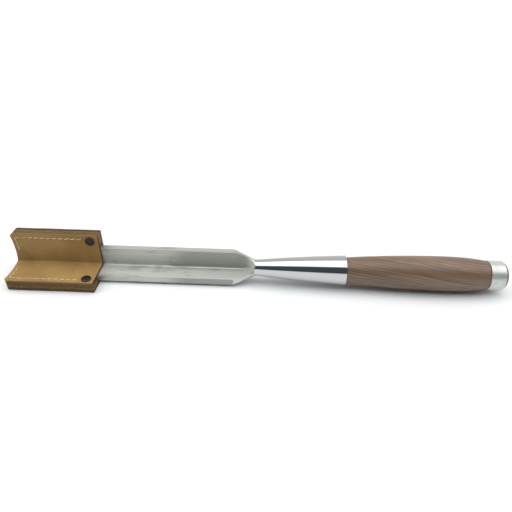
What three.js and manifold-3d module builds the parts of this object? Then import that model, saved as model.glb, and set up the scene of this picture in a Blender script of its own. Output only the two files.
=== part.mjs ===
// A corner chisel for timber framing, in its riveted and stitched leather sheath.
// Millimetres, +Z up. The tool lies along X, cutting edge towards -X and striking end towards +X. One wall of
// the blade lies flat and the other stands up behind it, so its trough opens upwards and towards -Y.
import * as THREE from "three";
import { mergeVertices } from "three/addons/utils/BufferGeometryUtils.js";
import Module from "manifold-3d";

const wasm = await Module();
wasm.setup();

// ---- Driving dimensions ----------------------------------------------------------------------------------

const blade = {
  width: 25.4, // outer width of each wall
  thickness: 6.35,
  length: 210, // cutting edge to the shoulder, where the walls start to taper
  bevelAngle: 30, // degrees, ground on the inside of both walls
  troughFillet: 2,
  cornerRadius: 0.4, // on the outer corner
  axisOffset: 14.4, // tool axis to the outer face of either wall
};

const neck = {
  length: 22.5, // shoulder to the narrowest point
  radius: 8,
  steps: 12,
  scoop: 1.7, // how late the trough floor climbs to the neck: 1 is a straight ramp
};

const socket = {
  length: 87.5,
  mouthRadius: 14.9,
  swell: 0.7, // how far the side stands proud of a straight cone, half way
  wall: 2.4, // at the mouth
  boreEndRadius: 6.2,
  boreDepth: 68,
};

const handle = {
  gripLength: 136.4,
  shoulderStep: 1.9, // how far the wood starts below the socket's lip
  bellyRadius: 17.1,
  bellyAt: 0.68, // share of the grip from the socket to its thickest place
  endStep: 0.6, // how far the wood ends below the hoop
  swell: 1.9, // how the grip swells from the socket to the belly: 1 is straight, 2 is a parabola
  roundOff: 2.6, // the same from the belly down to the hoop
  tenonRoom: 4, // left between the tenon's end and the bottom of the bore
};

const hoop = {
  length: 14,
  radius: 14.6,
  wall: 1.9,
  chamfer: 0.6,
};

const butt = {
  length: 5, // wood standing past the hoop
  lip: 0.7, // how far it is mushroomed over the hoop's bore
};

const sheath = {
  length: 88,
  weltWidth: 14.9, // along the free edges
  leather: 2.5,
  foldRadius: 3, // outside of the outer panel's fold
  creaseRadius: 0.3, // inside of the same fold
  innerFoldRadius: 1.2, // in the sheath's own trough
  tipLand: 11.4, // closed end, past the cutting edge
  edgeRoom: 1.5, // slot beyond the blade's free edges, and past its tip
};

const stitch = {
  inset: 4.5, // from the free edge and from the tip
  pitch: 6.1, // along the free edge
  rivetRoom: 2, // least room between the last hole and the rivet's cap
  tipPitch: 5.2,
  tipCount: 3, // holes across the tip, past the one in the corner
  threadRadius: 0.45,
  holeRadius: 0.6,
  grooveWidth: 1.4,
  grooveDepth: 1.05,
};

const rivet = {
  capRadius: 4.75,
  capHeight: 1.6,
  rimHeight: 0.5,
  postRadius: 1.5,
  sleeveRadius: 2.2,
  edgeInset: 6.4, // centre to the free edge
  mouthInset: 8.3, // centre to the mouth
};

const fit = {
  taper: 0.2, // tenon in socket, hoop on handle
  slide: 0.2, // leather to each face of the blade
  layer: 0.1, // between glued leathers
  trim: 0.1, // thread and rivets in their holes
};

const round = { socket: 36, handle: 36, hoop: 36, cap: 20, post: 12, hole: 6, fold: 4 };

// ---- Sizes that follow from them -------------------------------------------------------------------------

const neckX = blade.length + neck.length;
const mouthX = neckX + socket.length;
const gripEndX = mouthX + handle.gripLength;
const hoopEndX = gripEndX + hoop.length + fit.taper;
const boreRadius = socket.mouthRadius - socket.wall;
const seatRadius = hoop.radius - hoop.wall - fit.taper;
const shoulderRadius = socket.mouthRadius - handle.shoulderStep;
const gripEndRadius = hoop.radius - handle.endStep;

const slot = blade.thickness + 2 * fit.slide;
const weltThickness = (slot - 3 * fit.layer) / 2;
const stack = 2 * sheath.leather + slot;
const weltStart = sheath.leather + fit.slide + blade.width + sheath.edgeRoom;
const flangeWidth = weltStart + sheath.weltWidth;
const tipX = -sheath.tipLand;
const sheathMouthX = tipX + sheath.length;
const rivetX = sheathMouthX - rivet.mouthInset;
const rivetSide = flangeWidth - rivet.edgeInset;
const stitchRun = rivetX - rivet.capRadius - stitch.rivetRoom - (tipX + stitch.inset);
const longCount = Math.floor(stitchRun / stitch.pitch) + 1;

// ---- Materials -------------------------------------------------------------------------------------------

const material = (color, roughness, metalness) =>
  new THREE.MeshStandardMaterial({ color, roughness, metalness });

const steel = material(0xb9bcb8, 0.22, 1);
const hoopSteel = material(0xc9cbc8, 0.15, 1);
const walnut = material(0x8a6a52, 0.5, 0);
const tanLeather = material(0xb08a5c, 0.75, 0);
const brownLeather = material(0x6d5235, 0.7, 0);
const blackRivet = material(0x33352c, 0.35, 0.8);
const waxedThread = material(0xe4d8ad, 0.7, 0);

// ---- Geometry helpers ------------------------------------------------------------------------------------

// A closed geometry as a manifold-3d solid, with coincident vertices merged and collapsed faces dropped.
function toSolid(geometry) {
  const bare = new THREE.BufferGeometry();
  bare.setAttribute("position", geometry.getAttribute("position"));
  bare.setIndex(geometry.index);
  const merged = mergeVertices(bare, 1e-4);
  const faces = [];
  for (let i = 0; i < merged.index.count; i += 3) {
    const [a, b, c] = [0, 1, 2].map((k) => merged.index.getX(i + k));
    if (a !== b && b !== c && c !== a) faces.push(a, b, c);
  }
  const mesh = new wasm.Mesh({
    numProp: 3,
    vertProperties: merged.getAttribute("position").array,
    triVerts: new Uint32Array(faces),
  });
  return new wasm.Manifold(mesh);
}

function fromSolid(solid) {
  const mesh = solid.getMesh();
  const geometry = new THREE.BufferGeometry();
  geometry.setAttribute("position", new THREE.BufferAttribute(mesh.vertProperties, 3));
  geometry.setIndex(new THREE.BufferAttribute(mesh.triVerts, 1));
  geometry.computeVertexNormals();
  return geometry;
}

const cut = (geometry, tools) =>
  fromSolid(tools.reduce((solid, tool) => solid.subtract(toSolid(tool)), toSolid(geometry)));

const join = (pieces) =>
  fromSolid(pieces.map(toSolid).reduce((solid, piece) => solid.add(piece)));

// Turned about the X axis. The outline is [x, radius] pairs that start and end on the axis, or close on
// themselves.
function turned(outline, segments) {
  const points = outline.map(([x, r]) => new THREE.Vector2(r, x));
  const geometry = new THREE.LatheGeometry(points, segments);
  return geometry.rotateZ(-Math.PI / 2);
}

// A (y, z) shape extruded along X from x0 to x1.
function alongX(shape, x0, x1) {
  const geometry = new THREE.ExtrudeGeometry(shape, {
    depth: x1 - x0,
    bevelEnabled: false,
    curveSegments: round.fold,
  });
  const axes = new THREE.Matrix4().makeBasis(
    new THREE.Vector3(0, 1, 0),
    new THREE.Vector3(0, 0, 1),
    new THREE.Vector3(1, 0, 0),
  );
  return geometry.applyMatrix4(axes.setPosition(x0, 0, 0));
}

// An (x, y) shape extruded along Z from z0 to z1.
const alongZ = (shape, z0, z1) =>
  new THREE.ExtrudeGeometry(shape, { depth: z1 - z0, bevelEnabled: false }).translate(0, 0, z0);

function polygon(points) {
  return new THREE.Shape(points.map(([u, v]) => new THREE.Vector2(u, v)));
}

// A skin over rings of equal length, closed at the far end by a fan. Points that coincide at the near end,
// as on a sharp edge, close it by themselves.
function skin(rings) {
  const count = rings[0].length;
  const positions = rings.flat().flatMap((p) => [p.x, p.y, p.z]);
  const faces = [];
  for (let r = 0; r + 1 < rings.length; r += 1) {
    for (let i = 0; i < count; i += 1) {
      const a = r * count + i;
      const b = r * count + ((i + 1) % count);
      faces.push(a, a + count, b, b, a + count, b + count);
    }
  }
  const last = (rings.length - 1) * count;
  const centre = rings.at(-1).reduce((sum, p) => sum.add(p), new THREE.Vector3()).divideScalar(count);
  positions.push(centre.x, centre.y, centre.z);
  for (let i = 0; i < count; i += 1) {
    faces.push(last + i, rings.length * count, last + ((i + 1) % count));
  }
  const geometry = new THREE.BufferGeometry();
  geometry.setAttribute("position", new THREE.Float32BufferAttribute(positions, 3));
  geometry.setIndex(faces);
  return geometry;
}

// ---- Blade and socket, one forging -----------------------------------------------------------------------

// Section points are [p, q]: p from the back wall's outer face towards the front, q up from the floor
// wall's outer face.
const SIDE_STEPS = 6;
const CORNER_STEPS = 4;
const EDGE_STEPS = 8;

// From the top of the back wall down to a rounded corner at [c, c] and out to the front of the floor wall.
function cornerPath(c, radius) {
  const points = [];
  for (let i = 0; i < SIDE_STEPS; i += 1) {
    points.push([c, THREE.MathUtils.lerp(blade.width, c + radius, i / SIDE_STEPS)]);
  }
  for (let i = 0; i <= CORNER_STEPS; i += 1) {
    const angle = (Math.PI / 2) * (i / CORNER_STEPS);
    points.push([c + radius * (1 - Math.cos(angle)), c + radius * (1 - Math.sin(angle))]);
  }
  for (let i = 1; i <= SIDE_STEPS; i += 1) {
    points.push([THREE.MathUtils.lerp(c + radius, blade.width, i / SIDE_STEPS), c]);
  }
  return points;
}

// The L section as one ring, and for each point its place on the neck: the whole trough gathers at one
// point, on the side that faces out of the trough.
function bladeSection(thickness, fillet, cornerRadius) {
  const w = blade.width;
  const outer = cornerPath(0, cornerRadius);
  const inner = cornerPath(thickness, fillet).reverse();
  const ring = outer.map((point) => ({ point, part: "outer" }));
  for (let i = 1; i < EDGE_STEPS; i += 1) {
    const share = i / EDGE_STEPS;
    ring.push({ point: [w, thickness * share], part: "front", share });
  }
  const middle = (inner.length - 1) / 2;
  inner.forEach((point, i) => {
    ring.push({ point, part: "trough", depth: 1 - Math.abs(i - middle) / middle });
  });
  for (let i = 1; i < EDGE_STEPS; i += 1) {
    const share = i / EDGE_STEPS;
    ring.push({ point: [thickness * (1 - share), w], part: "top", share });
  }
  return ring;
}

const APEX = Math.PI / 4;
const FREE_EDGE = Math.atan2(-blade.axisOffset, blade.width - blade.axisOffset);

function neckAngle({ point: [p, q], part, share }) {
  if (part === "trough") return APEX;
  if (part === "front") return THREE.MathUtils.lerp(FREE_EDGE, APEX, share);
  if (part === "top") return THREE.MathUtils.lerp(APEX, Math.PI / 2 - FREE_EDGE, share);
  const angle = Math.atan2(q - blade.axisOffset, p - blade.axisOffset);
  return angle < FREE_EDGE - 1e-6 ? angle + 2 * Math.PI : angle;
}

const place = (x, [p, q]) =>
  new THREE.Vector3(x, blade.axisOffset - p, q - blade.axisOffset);

function onCircle(x, radius, angle) {
  const p = blade.axisOffset + radius * Math.cos(angle);
  const q = blade.axisOffset + radius * Math.sin(angle);
  return place(x, [p, q]);
}

function socketRadius(share) {
  const cone = THREE.MathUtils.lerp(neck.radius, socket.mouthRadius, share);
  return cone + socket.swell * 4 * share * (1 - share);
}

function bladeGeometry() {
  const bevelLength = blade.thickness / Math.tan(THREE.MathUtils.degToRad(blade.bevelAngle));
  const full = bladeSection(blade.thickness, blade.troughFillet, blade.cornerRadius);
  const edge = bladeSection(0, 0, 0);
  const flat = (x, section) => section.map(({ point }) => place(x, point));
  const rings = [flat(0, edge), flat(bevelLength, full), flat(blade.length, full)];

  for (let i = 1; i <= neck.steps; i += 1) {
    const share = i / neck.steps;
    const x = blade.length + neck.length * share;
    rings.push(
      full.map((corner) => {
        const late = 1 + (neck.scoop - 1) * (corner.depth ?? 0);
        const target = onCircle(x, neck.radius, neckAngle(corner));
        return place(x, corner.point).lerp(target, share ** late);
      }),
    );
  }
  const socketSteps = 6;
  for (let i = 1; i <= socketSteps; i += 1) {
    const share = i / socketSteps;
    const x = neckX + socket.length * share;
    rings.push(full.map((corner) => onCircle(x, socketRadius(share), neckAngle(corner))));
  }

  const bore = turned(
    [
      [mouthX - socket.boreDepth, 0],
      [mouthX - socket.boreDepth, socket.boreEndRadius],
      [mouthX + 1, boreRadius],
      [mouthX + 1, 0],
    ],
    round.socket,
  );
  return cut(skin(rings), [bore]);
}

// ---- Handle and hoop -------------------------------------------------------------------------------------

// The grip swells from the socket to its belly and rounds off to the hoop.
function gripOutline() {
  const steps = 18;
  const outline = [];
  for (let i = 0; i <= steps; i += 1) {
    const share = i / steps;
    const before = (handle.bellyAt - share) / handle.bellyAt;
    const after = (share - handle.bellyAt) / (1 - handle.bellyAt);
    const drop = before > 0
      ? (handle.bellyRadius - shoulderRadius) * before ** handle.swell
      : (handle.bellyRadius - gripEndRadius) * after ** handle.roundOff;
    const x = THREE.MathUtils.lerp(mouthX + fit.taper, gripEndX, share);
    outline.push([x, handle.bellyRadius - drop]);
  }
  return outline;
}

function handleGeometry() {
  const tenonX = mouthX - socket.boreDepth + handle.tenonRoom;
  const slope = (boreRadius - socket.boreEndRadius) / (socket.boreDepth + 1);
  const tenonEnd = socket.boreEndRadius + slope * handle.tenonRoom - fit.taper;
  const tenonRoot = boreRadius - slope - fit.taper;
  const endX = hoopEndX + butt.length;
  const lipRadius = seatRadius + butt.lip;
  return turned(
    [
      [tenonX, 0],
      [tenonX, tenonEnd],
      [mouthX + fit.taper, tenonRoot],
      ...gripOutline(),
      [gripEndX, seatRadius],
      [hoopEndX + fit.taper, seatRadius],
      [hoopEndX + fit.taper, lipRadius],
      [endX - butt.length * 0.4, lipRadius - 0.6],
      [endX - butt.length * 0.12, lipRadius * 0.72],
      [endX, lipRadius * 0.4],
      [endX, 0],
    ],
    round.handle,
  );
}

function hoopGeometry() {
  const x0 = gripEndX + fit.taper;
  const x1 = hoopEndX;
  const inner = hoop.radius - hoop.wall;
  return turned(
    [
      [x0, inner],
      [x1, inner],
      [x1, hoop.radius - hoop.chamfer],
      [x1 - hoop.chamfer, hoop.radius],
      [x0 + hoop.chamfer, hoop.radius],
      [x0, hoop.radius - hoop.chamfer],
      [x0, inner],
    ].reverse(),
    round.hoop,
  );
}

// ---- Sheath ----------------------------------------------------------------------------------------------

// The sheath is drawn from its own outer corner: the floor flange reaches to -Y with its outer face at
// z = 0, and the wall flange is its mirror image across the diagonal plane of the corner.
const ACROSS_CORNER = new THREE.Matrix4().set(1, 0, 0, 0, 0, 0, -1, 0, 0, -1, 0, 0, 0, 0, 0, 1);

// The mirrored geometry, with its faces turned so that they still point out.
function mirrored(geometry) {
  const bare = new THREE.BufferGeometry();
  bare.setAttribute("position", geometry.getAttribute("position").clone());
  const index = geometry.index ? [...geometry.index.array] : [...Array(bare.attributes.position.count).keys()];
  for (let i = 0; i < index.length; i += 3) {
    [index[i + 1], index[i + 2]] = [index[i + 2], index[i + 1]];
  }
  bare.setIndex(index);
  return bare.applyMatrix4(ACROSS_CORNER);
}

const onBothFlanges = (tools) => [...tools, ...tools.map(mirrored)];

// A folded L panel whose outer face starts at depth, from the sheath's outer faces.
function foldedPanel(depth, outerRadius, innerRadius) {
  const a = depth;
  const b = depth + sheath.leather;
  const w = flangeWidth;
  const shape = new THREE.Shape();
  shape.moveTo(-w, a);
  shape.lineTo(-a - outerRadius, a);
  shape.absarc(-a - outerRadius, a + outerRadius, outerRadius, -Math.PI / 2, 0, false);
  shape.lineTo(-a, w);
  shape.lineTo(-b, w);
  shape.lineTo(-b, b + innerRadius);
  shape.absarc(-b - innerRadius, b + innerRadius, innerRadius, 0, -Math.PI / 2, true);
  shape.lineTo(-w, b);
  shape.closePath();
  return alongX(shape, tipX, sheathMouthX);
}

// Centres of the stitch holes in one flange, as [x, y], from the mouth along the free edge, round the tip.
function stitchHoles() {
  const y = -flangeWidth + stitch.inset;
  const x = tipX + stitch.inset;
  const long = Array.from({ length: longCount }, (_, i) => [x + stitch.pitch * i, y]).reverse();
  const tip = Array.from({ length: stitch.tipCount }, (_, i) => [x, y + stitch.tipPitch * (i + 1)]);
  return [...long, ...tip];
}

// A rod of the given radius and side count between two points.
function rod(from, to, radius, sides) {
  const line = new THREE.Vector3().subVectors(to, from);
  const geometry = new THREE.CylinderGeometry(radius, radius, line.length(), sides);
  const turn = new THREE.Quaternion().setFromUnitVectors(
    new THREE.Vector3(0, 1, 0),
    line.clone().normalize(),
  );
  const middle = new THREE.Vector3().addVectors(from, to).multiplyScalar(0.5);
  return geometry.applyQuaternion(turn).translate(middle.x, middle.y, middle.z);
}

const upright = (x, y, z0, z1, radius, sides) =>
  rod(new THREE.Vector3(x, y, z0), new THREE.Vector3(x, y, z1), radius, sides);

const throughHoles = () =>
  stitchHoles().map(([x, y]) => upright(x, y, -1, stack + 1, stitch.holeRadius, round.hole));

const rivetHole = () =>
  upright(rivetX, -rivetSide, -1, stack + 1, rivet.sleeveRadius + fit.trim, round.post);

// The stitching groove, cut into a face from z0 to z1.
function stitchGroove(z0, z1) {
  const half = stitch.grooveWidth / 2;
  const holes = stitchHoles();
  const [mouthHole, cornerHole, tipHole] = [holes[0], holes[longCount - 1], holes.at(-1)];
  const bar = (a, b) =>
    polygon([
      [Math.min(a[0], b[0]) - half, Math.min(a[1], b[1]) - half],
      [Math.max(a[0], b[0]) + half, Math.min(a[1], b[1]) - half],
      [Math.max(a[0], b[0]) + half, Math.max(a[1], b[1]) + half],
      [Math.min(a[0], b[0]) - half, Math.max(a[1], b[1]) + half],
    ]);
  return [bar(cornerHole, mouthHole), bar(cornerHole, tipHole)].map((shape) => alongZ(shape, z0, z1));
}

// The outer panel's face is dished round each rivet, so that the base cap lies below it.
function outerPanelGeometry() {
  const dish = upright(
    rivetX,
    -rivetSide,
    -1,
    rivet.capHeight,
    rivet.capRadius + fit.trim,
    round.cap,
  );
  const tools = [...throughHoles(), rivetHole(), dish, ...stitchGroove(-1, stitch.grooveDepth)];
  return cut(foldedPanel(0, sheath.foldRadius, sheath.creaseRadius), onBothFlanges(tools));
}

function innerPanelGeometry() {
  const depth = stack - sheath.leather;
  const groove = stitchGroove(stack - stitch.grooveDepth, stack + 1);
  return cut(
    foldedPanel(depth, blade.troughFillet, sheath.innerFoldRadius),
    onBothFlanges([...throughHoles(), rivetHole(), ...groove]),
  );
}

// A flat filler strip, along the free edge and across the tip. innerSide is how near it comes to the
// sheath's outer corner at the tip.
function weltGeometry(layer, innerSide) {
  const z0 = sheath.leather + fit.layer + layer * (weltThickness + fit.layer);
  const tipEnd = -sheath.edgeRoom;
  const outline = polygon([
    [tipX, -flangeWidth],
    [sheathMouthX, -flangeWidth],
    [sheathMouthX, -weltStart],
    [tipEnd, -weltStart],
    [tipEnd, -innerSide],
    [tipX, -innerSide],
  ]);
  return cut(alongZ(outline, z0, z0 + weltThickness), [...throughHoles(), rivetHole()]);
}

// One flange's saddle stitching, pulled tight: a straight run along each stretch of holes on both faces,
// joined through every hole.
function threadGeometry() {
  const holes = stitchHoles();
  const ends = [holes[0], holes[longCount - 1], holes.at(-1)];
  const top = stack - stitch.threadRadius * 0.6;
  const bottom = stitch.threadRadius + fit.trim;
  const sides = 6;
  const legs = holes.map(([x, y]) =>
    upright(x, y, bottom, top, stitch.threadRadius * 0.8, sides),
  );
  const runs = [bottom, top].flatMap((z) => {
    const points = ends.map(([x, y]) => new THREE.Vector3(x, y, z));
    return [
      rod(points[0], points[1], stitch.threadRadius, sides),
      rod(points[1], points[2], stitch.threadRadius, sides),
    ];
  });
  return join([...legs, ...runs]);
}

// A rivet's domed cap with its post, which stands in the sleeve of the base. z is measured from the
// sheath's outer face.
function rivetCapGeometry() {
  const z = stack + fit.trim;
  const outline = [
    [rivet.capHeight * 0.5 + fit.trim, 0],
    [rivet.capHeight * 0.5 + fit.trim + 1, rivet.postRadius],
    [z, rivet.postRadius],
    [z, rivet.capRadius],
    [z + rivet.rimHeight, rivet.capRadius],
    [z + rivet.capHeight * 0.8, rivet.capRadius * 0.6],
    [z + rivet.capHeight, 0],
  ];
  return standing(outline);
}

function rivetBaseGeometry() {
  const top = stack - fit.trim;
  const inner = rivet.postRadius + fit.trim;
  const outline = [
    [fit.trim, 0],
    [fit.trim + 0.3, rivet.capRadius * 0.7],
    [rivet.capHeight - fit.trim - rivet.rimHeight, rivet.capRadius],
    [rivet.capHeight - fit.trim, rivet.capRadius],
    [rivet.capHeight - fit.trim, rivet.sleeveRadius],
    [top, rivet.sleeveRadius],
    [top, inner],
    [rivet.capHeight * 0.5, inner],
    [rivet.capHeight * 0.5, 0],
  ];
  return standing(outline);
}

// Turned about the rivet's upright axis, from [height, radius] pairs.
function standing(outline) {
  const points = outline.map(([z, r]) => new THREE.Vector2(r, z));
  return new THREE.LatheGeometry(points, round.cap)
    .rotateX(Math.PI / 2)
    .translate(rivetX, -rivetSide, 0);
}

// ---- Assembly --------------------------------------------------------------------------------------------

function node(name, geometry, finish) {
  const mesh = new THREE.Mesh(geometry, finish);
  mesh.name = name;
  return mesh;
}

function chiselGroup() {
  const group = new THREE.Group();
  group.add(node("blade", bladeGeometry(), steel));
  group.add(node("handle", handleGeometry(), walnut));
  group.add(node("hoop", hoopGeometry(), hoopSteel));
  return group;
}

function sheathGroup() {
  const group = new THREE.Group();
  group.add(node("sheath_outer_panel", outerPanelGeometry(), brownLeather));
  group.add(node("sheath_inner_panel", innerPanelGeometry(), tanLeather));

  const cornerSide = sheath.leather + fit.layer;
  const wallSide = stack - sheath.leather + fit.layer;
  const flangePieces = [
    ["rivet_cap", rivetCapGeometry, blackRivet],
    ["rivet_base", rivetBaseGeometry, blackRivet],
    ["thread", threadGeometry, waxedThread],
  ];
  for (const [name, make, finish] of flangePieces) {
    const geometry = make();
    group.add(node(`floor_${name}`, geometry, finish));
    group.add(node(`wall_${name}`, mirrored(geometry), finish));
  }
  ["outer", "inner"].forEach((name, layer) => {
    group.add(node(`floor_welt_${name}`, weltGeometry(layer, cornerSide), brownLeather));
    group.add(node(`wall_welt_${name}`, mirrored(weltGeometry(layer, wallSide)), brownLeather));
  });

  const corner = blade.axisOffset + sheath.leather + fit.slide;
  group.position.set(0, corner, -corner);
  return group;
}

const tool = new THREE.Group();
tool.add(chiselGroup(), sheathGroup());

// The origin is under the middle of the whole, on the surface it rests on.
const bounds = new THREE.Box3().setFromObject(tool);
const middle = bounds.getCenter(new THREE.Vector3());
tool.position.set(-middle.x, -middle.y, -bounds.min.z);

const part = new THREE.Group();
part.add(tool);

export default part;
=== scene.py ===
"""A corner chisel and its leather sheath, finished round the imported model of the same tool."""

import logging
import math
from collections.abc import Callable, Mapping, Sequence
from dataclasses import dataclass
from enum import Enum
from itertools import pairwise

import bmesh
import bpy
from mathutils import Matrix, Vector


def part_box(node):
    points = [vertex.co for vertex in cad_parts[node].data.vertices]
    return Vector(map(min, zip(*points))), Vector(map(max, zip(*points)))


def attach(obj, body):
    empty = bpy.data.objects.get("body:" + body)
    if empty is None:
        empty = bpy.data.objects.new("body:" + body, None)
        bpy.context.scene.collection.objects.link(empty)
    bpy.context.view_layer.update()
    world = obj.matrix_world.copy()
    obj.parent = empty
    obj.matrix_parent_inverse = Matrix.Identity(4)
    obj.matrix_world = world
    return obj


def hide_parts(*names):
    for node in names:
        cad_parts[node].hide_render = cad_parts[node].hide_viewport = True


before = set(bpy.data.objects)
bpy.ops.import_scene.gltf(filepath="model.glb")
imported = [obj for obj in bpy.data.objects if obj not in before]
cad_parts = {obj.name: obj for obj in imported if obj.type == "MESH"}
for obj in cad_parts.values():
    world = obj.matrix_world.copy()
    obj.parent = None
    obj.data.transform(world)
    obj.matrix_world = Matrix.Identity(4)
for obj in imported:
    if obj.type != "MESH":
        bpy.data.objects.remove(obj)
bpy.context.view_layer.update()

Colour = tuple[float, float, float, float]
Outline = Sequence[tuple[float, float]]

AHEAD = Vector((1, 0, 0))
THROUGH = 0.02  # metres, deeper than a flange of the sheath

TAN: Colour = (0.315, 0.188, 0.062, 1)
TAN_RUBBED: Colour = (0.4, 0.25, 0.095, 1)
BURNT_EDGE: Colour = (0.2, 0.1, 0.03, 1)
BROWN: Colour = (0.2, 0.115, 0.05, 1)
BROWN_RUBBED: Colour = (0.3, 0.18, 0.085, 1)
DARK_EDGE: Colour = (0.075, 0.04, 0.016, 1)
WELT: Colour = (0.3, 0.185, 0.055, 1)
WELT_RUBBED: Colour = (0.42, 0.28, 0.1, 1)

log = logging.getLogger("chisel")


def mm(value: float) -> float:
    """Millimetres as metres."""
    return value / 1000


def lerp(start: float, end: float, share: float) -> float:
    """The value a share of the way from start to end."""
    return start + (end - start) * share


class Body(Enum):
    """The bodies that pieces ride on."""

    CHISEL = "chisel"
    SHEATH = "sheath"


class Slot(Enum):
    """The record's material slots."""

    BLADE = "blade_steel"
    HOOP = "hoop_steel"
    WALNUT = "walnut"
    BROWN_LEATHER = "brown_leather"
    TAN_LEATHER = "tan_leather"
    WELT = "welt_leather"
    RIVET = "black_rivet"
    THREAD = "waxed_thread"


class Flange(Enum):
    """The sheath's two flanges: one lies on the floor and the other stands up as a wall."""

    FLOOR = "floor"
    WALL = "wall"


# ---- Shader building -------------------------------------------------------------------------------------


class Field:
    """A value that varies over a surface. An expression on it adds the Math nodes that work it out."""

    def __init__(self, graph: "Graph", socket: bpy.types.NodeSocket) -> None:
        """Wraps one output socket of a node in the graph."""
        self.graph = graph
        self.socket = socket

    def _math(self, operation: str, *values: "Field | float") -> "Field":
        """Adds one Math node.

        Args:
            operation: The Math node's operation.
            values: Its inputs, in order.

        Returns:
            The node's result.
        """
        return self.graph.add("ShaderNodeMath", {"operation": operation}, dict(enumerate(values)))

    def __add__(self, other: "Field | float") -> "Field":
        """The sum."""
        return self._math("ADD", self, other)

    def __radd__(self, other: float) -> "Field":
        """The sum, with a number first."""
        return self._math("ADD", other, self)

    def __sub__(self, other: "Field | float") -> "Field":
        """The difference."""
        return self._math("SUBTRACT", self, other)

    def __rsub__(self, other: float) -> "Field":
        """The difference from a number."""
        return self._math("SUBTRACT", other, self)

    def __mul__(self, other: "Field | float") -> "Field":
        """The product."""
        return self._math("MULTIPLY", self, other)

    def __rmul__(self, other: float) -> "Field":
        """The product, with a number first."""
        return self._math("MULTIPLY", other, self)

    def __truediv__(self, other: "Field | float") -> "Field":
        """The quotient."""
        return self._math("DIVIDE", self, other)

    def __pow__(self, power: float) -> "Field":
        """This value to a power."""
        return self._math("POWER", self, power)

    def least(self, other: "Field | float") -> "Field":
        """The lesser of the two."""
        return self._math("MINIMUM", self, other)

    def greatest(self, other: "Field | float") -> "Field":
        """The greater of the two."""
        return self._math("MAXIMUM", self, other)

    def root(self) -> "Field":
        """The square root."""
        return self._math("SQRT", self)

    def part(self) -> "Field":
        """The fractional part."""
        return self._math("FRACT", self)

    def angle_from(self, other: "Field") -> "Field":
        """The angle whose tangent is this value over the other, in radians."""
        return self._math("ARCTAN2", self, other)

    def rise(self, low: float, high: float) -> "Field":
        """Goes smoothly from 0 where this value is low to 1 where it is high.

        Args:
            low: The value that gives 0. It may be above high, for a fall.
            high: The value that gives 1.

        Returns:
            The smooth step.
        """
        settings = {"interpolation_type": "SMOOTHSTEP", "clamp": True}
        low, high, start, end = (low, high, 0.0, 1.0) if low < high else (high, low, 1.0, 0.0)
        return self.graph.add("ShaderNodeMapRange", settings, {0: self, 1: low, 2: high, 3: start, 4: end})


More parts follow.
